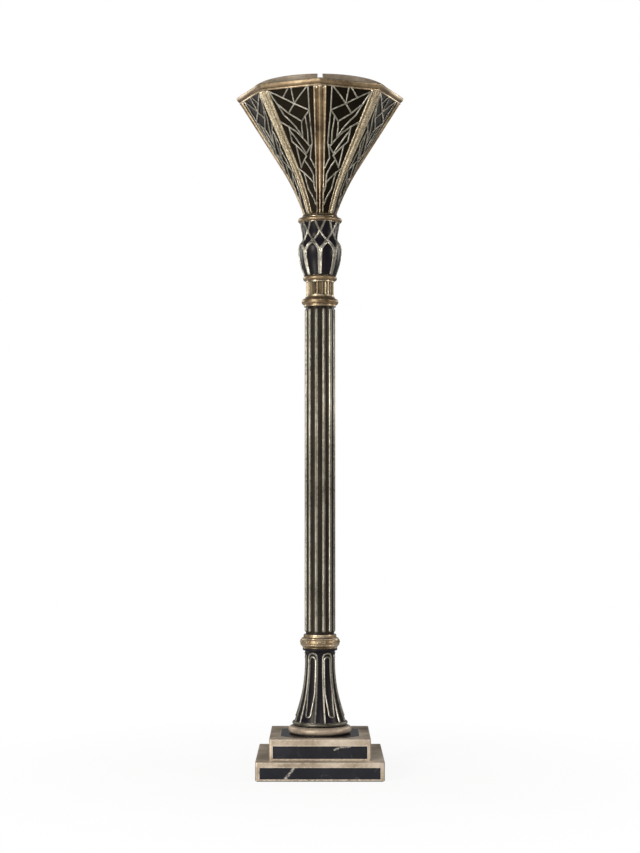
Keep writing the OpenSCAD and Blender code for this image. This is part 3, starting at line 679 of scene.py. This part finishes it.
def makeCollar():
    a, c = high("column_tube"), high("upper_collar")
    bulge, bore = collar["bulge"], collar["bore"]
    mid = a + collar["rise"] * (c - a)
    base = wide("upper_collar") - bulge
    profile = [(bore, a), (collar["low"] - 0.0004, a), (collar["low"], a + 0.002),
               (base + 0.0012, mid - bulge + 0.0006)]
    profile += arc(base, mid, bulge, -72, 76, 14)
    profile += [(base, mid + bulge + 0.0002), (collar["step"], mid + bulge + 0.0015),
                (collar["top"], c - 0.001), (collar["top"] - 0.0002, c), (bore, c)]
    settle(turned("upperCollar", profile), antique, "upper_collar")


# each flute is cut in to these shares of the radius, column of points by column
neckFlutes = {"count": 28, "cuts": [1, 0.955, 0.912, 0.896, 0.912, 0.955], "plain": 0.003, "wall": 0.008}


def makeNeck():
    a, c, r = low("fluted_neck"), high("fluted_neck"), wide("fluted_neck")
    steps = len(neckFlutes["cuts"])
    p = neckFlutes["plain"]
    bore, face = r - neckFlutes["wall"], r - 0.0004
    profile = [(bore, a), (r, a), (r, a + p), (face, a + p + 0.0008), (face, c - p - 0.0008), (r, c - p),
               (r, c), (bore, c)]
    part = turned("flutedNeckDrum", profile, neckFlutes["count"] * steps)
    hold(part)
    edit()
    pitch = 2 * pi / (neckFlutes["count"] * steps)
    for phase, cut in list(enumerate(neckFlutes["cuts"]))[1:]:
        def inFlute(v):
            turn = round(atan2(v.co.y, v.co.x) / pitch) % steps
            out = sqrt(v.co.x ** 2 + v.co.y ** 2)
            return turn == phase and out > r - 0.001 and a + p + 0.0001 < v.co.z < c - p - 0.0001
        pick("VERT", inFlute)
        bpy.ops.transform.resize(value=(cut, cut, 1), center_override=(0, 0, 0))
    bpy.ops.object.mode_set(mode="OBJECT")
    settle(part, neckBronze, "fluted_neck", 25)


# legs and loops are half widths in degrees; the other sizes are in metres
pedestal = {"neck": 0.037, "straight": 0.031, "cavetto": 0.008, "mouth": 0.013, "wall": 0.004,
            "sectors": 6, "legs": 19, "legTop": 0.024, "archRise": 0.0125, "legThick": 0.0026,
            "loopTop": 13.2, "loopLow": 7.0, "loopFoot": 0.021, "loopSplit": 0.085, "loopDip": 0.0075,
            "loopGap": 0.006, "loopRise": 0.009, "loopThick": 0.0022, "proud": 0.0008}


def pedestalRadius(z):
    a, c = low("pedestal_body"), high("pedestal_body")
    rise = c - a - pedestal["straight"]
    spread = wide("pedestal_body") - pedestal["neck"]
    sweep = (rise ** 2 + spread ** 2) / (2 * spread)
    down = max(0.0, a + rise - z)
    return pedestal["neck"] + sweep - sqrt(sweep ** 2 - down ** 2)


def makePedestal():
    # the flared casting, then an arch and a hanging loop on each sector
    a, c = low("pedestal_body"), high("pedestal_body")
    bend, neck, wall = pedestal["cavetto"], pedestal["neck"], pedestal["wall"]
    throat = c - pedestal["mouth"]
    heights = [a + (throat - a) * i / 30 for i in range(31)]
    outer = [(pedestalRadius(z), z) for z in heights]
    mouth = arc(neck + bend, throat, bend, 180, 92, 8)
    inner = [(r - wall, z) for r, z in reversed(outer)]
    profile = outer + mouth + [(neck + bend, c), (neck - wall, c)] + inner
    settle(turned("pedestalBody", profile), enamelDark, "pedestal_body")

    def spot(turn, z):
        return roundSpot(pedestalRadius(z) + pedestal["proud"], turn, z)

    legs, loops = [], []
    top, foot = c - pedestal["legTop"], a + 0.001
    wideLeg, wideLoop, thinLoop = pedestal["legs"], pedestal["loopTop"], pedestal["loopLow"]
    side = [foot + (top - foot) * k / 14 for k in range(14)]
    arch = [(wideLeg * cos(pi * k / 12), top + pedestal["archRise"] * sin(pi * k / 12)) for k in range(13)]
    lowZ, splitZ, capZ = a + pedestal["loopFoot"], a + pedestal["loopSplit"], top - pedestal["loopGap"]
    dip = [(thinLoop * cos(pi * k / 12), lowZ - pedestal["loopDip"] * sin(pi * k / 12)) for k in range(13)]
    shares = [k / 8 for k in range(1, 9)]
    shoulder = [(thinLoop + (wideLoop - thinLoop) * (3 * t * t - 2 * t ** 3), lowZ + (splitZ - lowZ) * t)
                for t in shares]
    straight = [(wideLoop, splitZ + (capZ - splitZ) * t) for t in shares]
    cap = [(-wideLoop * cos(pi * k / 10), capZ + pedestal["loopRise"] * sin(pi * k / 10))
           for k in range(1, 10)]
    rising = dip + [(-d, z) for d, z in shoulder + straight]
    loop = rising + cap + list(reversed(shoulder + straight)) + [dip[0]]
    for i in range(pedestal["sectors"]):
        mid = (i + 0.5) * 360 / pedestal["sectors"]
        path = [spot(mid + wideLeg, z) for z in side] + [spot(mid + d, z) for d, z in arch]
        legs.append(path + [spot(mid - wideLeg, z) for z in reversed(side)])
        loops.append([spot(mid + d, z) for d, z in loop])
    outerBars = wires("pedestalArches", legs, pedestal["legThick"])
    innerBars = wires("pedestalLoops", loops, pedestal["loopThick"])
    settle(gather([outerBars, innerBars], "pedestalTracery"), silvered, "pedestal_tracery")


column = {"reeds": 12, "reedWidth": 0.009}


def makeReeds():
    # a ball drawn out into a bar with round ends, half sunk in the tube
    a, c = low("column_reeds"), high("column_reeds")
    radius = column["reedWidth"] / 2
    seat = sqrt(wide("column_tube") ** 2 - radius ** 2)
    drop()
    start = (0, -seat, a + radius)
    bpy.ops.mesh.primitive_uv_sphere_add(segments=20, ring_count=12, radius=radius, location=start)
    part = bpy.context.object
    part.name = "reed"
    bpy.ops.object.transform_apply(location=True, rotation=True, scale=True)
    edit()
    pick("VERT", lambda v: v.co.z > a + radius + 0.0001)
    bpy.ops.transform.translate(value=(0, 0, c - a - 2 * radius))
    bpy.ops.object.mode_set(mode="OBJECT")
    reeds = copyRound(part, column["reeds"], pi / column["reeds"], "columnReed")
    settle(gather(reeds, "columnReeds"), silvered, "column_reeds")


# the outline is a share of the height and a radius, the net is degrees from a sector's middle and
# a share of the height, mirrored
capital = {"outline": [(0, 0.039), (0.16, 0.0465), (0.30, 0.0512), (0.42, 0.053), (0.52, 0.053),
                       (0.57, 0.0515), (0.62, 0.047), (0.68, 0.0435), (0.74, 0.0425), (0.81, 0.0432),
                       (0.90, 0.0458), (1, 0.049)],
           "net": [[(18.6, 0.40), (16.5, 0.48), (8.5, 0.555), (0, 0.60)],
                   [(22.5, 0.455), (17, 0.515), (7, 0.61), (0, 0.665)],
                   [(0, 0.625), (8, 0.70), (16.5, 0.765), (22.5, 0.835)],
                   [(22.5, 0.815), (16, 0.885), (11.5, 0.95), (8.5, 1.0)]],
           "mullions": [(18.6, 0.42), (21.3, 0.45)], "sectors": 8, "wall": 0.004,
           "thick": 0.0029, "mullion": 0.0022, "proud": 0.0008}


def capitalRadius(share):
    line = capital["outline"]
    for (s0, r0), (s1, r1) in zip(line, line[1:]):
        if share <= s1:
            return r0 + (r1 - r0) * (share - s0) / (s1 - s0)
    return line[-1][1]


def makeCapital():
    a, c = low("capital_body"), high("capital_body")
    outer = [(r, a + s * (c - a)) for s, r in capital["outline"]]
    profile = outer + [(r - capital["wall"], z) for r, z in reversed(outer)]
    settle(turned("capitalBody", profile), enamelDark, "capital_body", 60)

    def spot(turn, share):
        return roundSpot(capitalRadius(share) + capital["proud"], turn, a + share * (c - a))

    net, mullions = [], []
    for i in range(capital["sectors"]):
        mid = (i + 0.5) * 360 / capital["sectors"]
        for side in (-1, 1):
            for turn, rise in capital["mullions"]:
                mullions.append([spot(mid + side * turn, 0.01 + rise * k / 10) for k in range(11)])
            for line in capital["net"]:
                soft = flowing([(side * d, share, 0) for d, share in line], 5)
                net.append([spot(mid + p.x, p.y) for p in soft])
    netBars = wires("capitalNetBars", net, capital["thick"])
    upright = wires("capitalMullions", mullions, capital["mullion"])
    settle(gather([netBars, upright], "capitalNet"), silvered, "capital_tracery")


shade = {"base": 0.043, "bend": 0.42, "bendOut": 0.33, "ribTop": 0.034, "ribLow": 0.018, "panelBack": 0.0005,
         "barThick": 0.0022, "barProud": 0.0004, "play": 0.0005, "sides": 8}
eighth = pi / shade["sides"]


def shadeSizes():
    # heights of seat, rail and rim, the rim's corner radius, and where the curve turns straight
    z0, z1, z2 = low("shade_ribs"), high("shade_ribs"), high("rim_rails")
    rim = wide("rim_rails")
    zBend = z0 + shade["bend"] * (z1 - z0)
    rBend = shade["base"] + shade["bendOut"] * (rim - shade["base"])
    return z0, z1, z2, rim, zBend, rBend


def shadeRadius(z, k=1.0):
    # distance from the axis to a corner (k = 1) or to the middle of a side (k = cos of half a side)
    z0, z1, z2, rim, zBend, rBend = shadeSizes()
    lean = atan2(k * (rim - rBend), z2 - zBend)
    if z >= zBend:
        return k * rBend + (z - zBend) * tan(lean)
    dr, dz = k * (shade["base"] - rBend), z0 - zBend
    sweep = (dr * dr + dz * dz) / (2 * (dr * cos(lean) - dz * sin(lean)))
    centreR, centreZ = k * rBend + sweep * cos(lean), zBend - sweep * sin(lean)
    return centreR - sqrt(sweep ** 2 - (z - centreZ) ** 2)


def ribHalf(z):
    z0, z1 = shadeSizes()[:2]
    return (shade["ribLow"] + (shade["ribTop"] - shade["ribLow"]) * (z - z0) / (z1 - z0)) / 2


# depth behind the outline and share of the half width: a bead between two grooves
ribFace = [(-0.0062, 1.0), (-0.0040, 0.94), (-0.0034, 0.84), (-0.0040, 0.72), (-0.0070, 0.54),
           (-0.0074, 0.46), (-0.0066, 0.38), (-0.0030, 0.31), (-0.0008, 0.18)]
ribBack = 0.0125
ribSection = [(-ribBack, -1.0), (-ribBack, 1.0)] + ribFace + [(0.0, 0.0)]
ribSection += [(depth, -across) for depth, across in reversed(ribFace)]


def makeRibs():
    z0, z1 = shadeSizes()[:2]
    drop()
    count = len(ribSection)
    bpy.ops.mesh.primitive_circle_add(vertices=count, radius=0.01, fill_type="NGON", location=(0, 0, z0))
    part = bpy.context.object
    part.name = "rib"
    bpy.ops.object.transform_apply(location=True, rotation=True, scale=True)
    r0, w0 = shadeRadius(z0), ribHalf(z0)
    for v, (depth, across) in zip(part.data.vertices, ribSection):
        v.co = (across * w0, -(r0 + depth), z0)
    edit()
    bpy.ops.mesh.select_mode(type="FACE")
    bpy.ops.mesh.select_all(action="SELECT")
    heights = [z0 + (z1 - z0) * (i / 18) for i in range(19)]
    for za, zb in zip(heights, heights[1:]):
        grow = ribHalf(zb) / ribHalf(za)
        step = shadeRadius(zb) - shadeRadius(za)
        bpy.ops.mesh.extrude_region_move(TRANSFORM_OT_translate={"value": (0, -step, zb - za)})
        bpy.ops.transform.resize(value=(grow, 1, 1), center_override=(0, 0, zb))
    tidyNormals()
    for i, rib in enumerate(copyRound(part, shade["sides"], 0, "shadeRib")):
        settle(rib, hammeredBronze if i % 2 else antique, "shade_ribs", 30)


# lines of one side: across from the plain rib to the hammered rib, and up from seat to rail
starLines = [
    [(0.49, 1), (0.49, 0.88), (0.12, 0.82), (0.37, 0.74), (0.70, 0.81), (0.49, 0.88)],
    [(1, 0.99), (0.49, 0.88), (0.14, 1)], [(0.11, 1), (0.12, 0.82)], [(0.56, 1), (0.74, 0.93)],
    [(1, 0.98), (0.84, 0.80)], [(0.92, 0.89), (0.70, 0.81)],
]
leafLines = [
    [(0.84, 0.80), (0.61, 0.71), (0.44, 0.63)], [(0.37, 0.74), (0.40, 0.69), (0.42, 0.61)],
    [(1, 0.75), (0.59, 0.66), (0.19, 0.54)], [(0.12, 0.82), (0.09, 0.56), (0.38, 0.49)],
    [(0.25, 0.78), (0.22, 0.66), (0.25, 0.56)], [(0.80, 0.71), (0.87, 0.59), (0.40, 0.47), (0.85, 0.38)],
    [(0.82, 0.68), (0.62, 0.58), (0.40, 0.49)], [(0.75, 0.56), (0.83, 0.385)],
    [(0.12, 0.55), (0.23, 0.45), (0, 0.37)], [(1, 0.37), (0.14, 0.25)],
    [(0.55, 0.44), (0.14, 0.32), (0.13, 0.22), (0, 0.18)], [(0.77, 0.34), (0.74, 0.20), (0, 0.07)],
]


def makeShadeTracery():
    # neighbouring sides mirror each other at their rib
    z0, z1 = shadeSizes()[:2]
    k = cos(eighth)

    def spot(u, v, side):
        z = z0 + v * (z1 - z0)
        half = shadeRadius(z, k) * tan(eighth) - ribHalf(z) / k
        across = (2 * u - 1) * (half - shade["play"]) * side
        return Vector((across, -(shadeRadius(z, k) - shade["panelBack"] + shade["barProud"]), z))

    for side, name in ((1, "shadeTraceryA"), (-1, "shadeTraceryB")):
        paths = []
        for line in starLines + leafLines:
            for (u0, v0), (u1, v1) in zip(line, line[1:]):
                steps = 2 + int(abs(v1 - v0) * 10)
                shares = [t / steps for t in range(steps + 1)]
                paths.append([spot(u0 + (u1 - u0) * t, v0 + (v1 - v0) * t, side) for t in shares])
        part = wires("sideTracery", paths, shade["barThick"])
        for twin in copyRound(part, shade["sides"] // 2, eighth * side, name):
            settle(twin, silvered, "shade_tracery", 60)


# how far the rail stands out past the ribs, and its height as it rises
rail = {"bore": 0.188, "edge": 0.0007,
        "low": [(0.0005, 0), (0.0022, 0.0012), (0.0026, 0.0034), (0.0016, 0.0044), (0.0044, 0.0058),
                (0.0074, 0.0085), (0.0094, 0.0118)],
        "top": [(0.0102, 0.0022), (0.0092, 0.0004), (0.0076, 0)]}


def makeRails():
    z1, z2 = shadeSizes()[1:3]
    r0 = shadeRadius(z1)
    profile = [(rail["bore"], z1)] + [(r0 + out, z1 + up) for out, up in rail["low"]]
    profile += [(r0 + out, z2 - down) for out, down in rail["top"]] + [(rail["bore"], z2)]
    part = turned("rimRail", profile, shade["sides"])
    hold(part)
    edit()

    def atCorner(e):
        turns = [atan2(v.co.y, v.co.x) for v in e.verts]
        return abs(turns[0] - turns[1]) < 0.001
    pick("EDGE", atCorner)
    bpy.ops.mesh.bevel(offset=rail["edge"], segments=1)
    bpy.ops.object.mode_set(mode="OBJECT")
    settle(part, antique, "rim_rails", 30)


# slits are open at the plain ribs and nearly closed at the hammered ones
crown = {"lean": 0.018, "wall": 0.008, "inset": 0.0095, "sunk": 0.0016, "slit": 0.0135, "closed": 0.0015}


def makeCrown():
    a, c = low("crown_segments"), high("crown_segments")
    base = wide("rim_rails") * cos(eighth) - crown["inset"]
    top = base - crown["lean"]
    inner = base - crown["wall"]

    def face(t, sink=0.0):
        return (base + (top - base) * t - sink, a + (c - a) * t)

    sunk = crown["sunk"]
    profile = [(inner, a), (base - 0.0004, a), face(0.05), face(0.12), face(0.16, sunk), face(0.70, sunk),
               face(0.74), face(0.86), face(0.95, 0.0004), (top - 0.0012, c), (top - 0.0045, c),
               (top - 0.0052, c - 0.001)]
    part = turned("crown", profile, 360)
    hold(part)
    edit()

    def inSlit(f):
        m = f.calc_center_median()
        turn = atan2(m.y, m.x)
        rib = round(turn / (pi / 4))
        gap = crown["closed"] if rib % 2 else crown["slit"]
        return abs(turn - rib * pi / 4) * base < gap / 2 + 0.0001
    pick("FACE", inSlit)
    bpy.ops.mesh.delete(type="FACE")
    bpy.ops.mesh.select_all(action="SELECT")
    bpy.ops.mesh.fill_holes(sides=0)
    tidyNormals()
    settle(part, crownBronze, "crown_segments", 30)


print("tiers")
makeTier("lower")
makeTier("upper")
print("rings")
makeRings()
makeKnop()
makeCollar()
makeNeck()
print("pedestal and column")
makePedestal()
makeReeds()
print("capital")
makeCapital()
print("shade")
makeRibs()
makeShadeTracery()
makeRails()
makeCrown()

# parts that keep their own shape
keptFinish = {
    "lower_stone": marbleStone, "upper_stone": marbleStone, "top_slab": marbleStone,
    "shade_glass": glassBlack, "column_tube": enamelBrown, "base_felt": feltBlack,
    "base_cover": steelPlated, "cover_screws": steelPlated, "ballast": castIron,
    "terminal_block": plasticWhite, "cord_gland": plasticBlack, "gland_nut": steelPlated,
    "tie_rod": steelPlated, "rod_nuts": steelPlated, "rod_washers": steelPlated, "inner_flex": flexSheath,
    "rib_screws": steelPlated, "rail_screws": antique, "holder_cap": brassPlain, "holder_shell": brassPlain,
    "holder_insulator": plasticBlack, "screw_shell": brassPlain, "centre_contact": brassPlain,
    "switch_key": plasticBlack, "bulb_cap": capMetal, "bulb_glass": bulbFrost,
}
for node, material in keptFinish.items():
    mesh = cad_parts[node].data
    mesh.materials.clear()
    mesh.materials.append(material)

# the floor is lit near the base and plain white further off
floorTone = {"tint": (0.86, 0.86, 0.86), "near": 0.90, "nearEdge": 0.3, "farEdge": 1.1}


def makeStage():
    drop()
    bpy.ops.mesh.primitive_plane_add(size=40, location=(0, 0, low("base_felt")))
    floor = bpy.context.object
    floor.name = "floor"
    b = Bench("paleFloor")
    seen = b.add("ShaderNodeLightPath", out="Is Camera Ray")
    plain = b.add("ShaderNodeBsdfDiffuse", {}, {"Color": (*floorTone["tint"], 1)})
    white = b.add("ShaderNodeEmission", {}, {"Color": (1, 1, 1, 1), "Strength": 1.0})
    away = b.add("ShaderNodeVectorMath", {"operation": "LENGTH"}, {0: b.coord}, "Value")
    fade = b.remap(away, floorTone["nearEdge"], floorTone["farEdge"], floorTone["near"], 1.0)
    mixed = b.add("ShaderNodeMixShader", {}, {0: seen * fade, 1: plain, 2: white})
    b.add("ShaderNodeOutputMaterial", {}, {"Surface": mixed})
    floor.data.materials.append(b.material)


sky = {"lit": 0.20, "seen": 1.0}


def makeSky():
    world = bpy.data.worlds.new("studio")
    scene.world = world
    world.use_nodes = True
    tree = world.node_tree
    tree.nodes.clear()
    path = tree.nodes.new("ShaderNodeLightPath")
    lit = tree.nodes.new("ShaderNodeBackground")
    lit.inputs["Strength"].default_value = sky["lit"]
    lit.inputs["Color"].default_value = (1, 1, 1, 1)
    seen = tree.nodes.new("ShaderNodeBackground")
    seen.inputs["Strength"].default_value = sky["seen"]
    seen.inputs["Color"].default_value = (1, 1, 1, 1)
    mixed = tree.nodes.new("ShaderNodeMixShader")
    out = tree.nodes.new("ShaderNodeOutputWorld")
    tree.links.new(path.outputs["Is Camera Ray"], mixed.inputs[0])
    tree.links.new(lit.outputs[0], mixed.inputs[1])
    tree.links.new(seen.outputs[0], mixed.inputs[2])
    tree.links.new(mixed.outputs[0], out.inputs[0])


print("stage")
makeCamera()
makeLamps()
makeStage()
makeSky()
scene.view_settings.view_transform = "Standard"
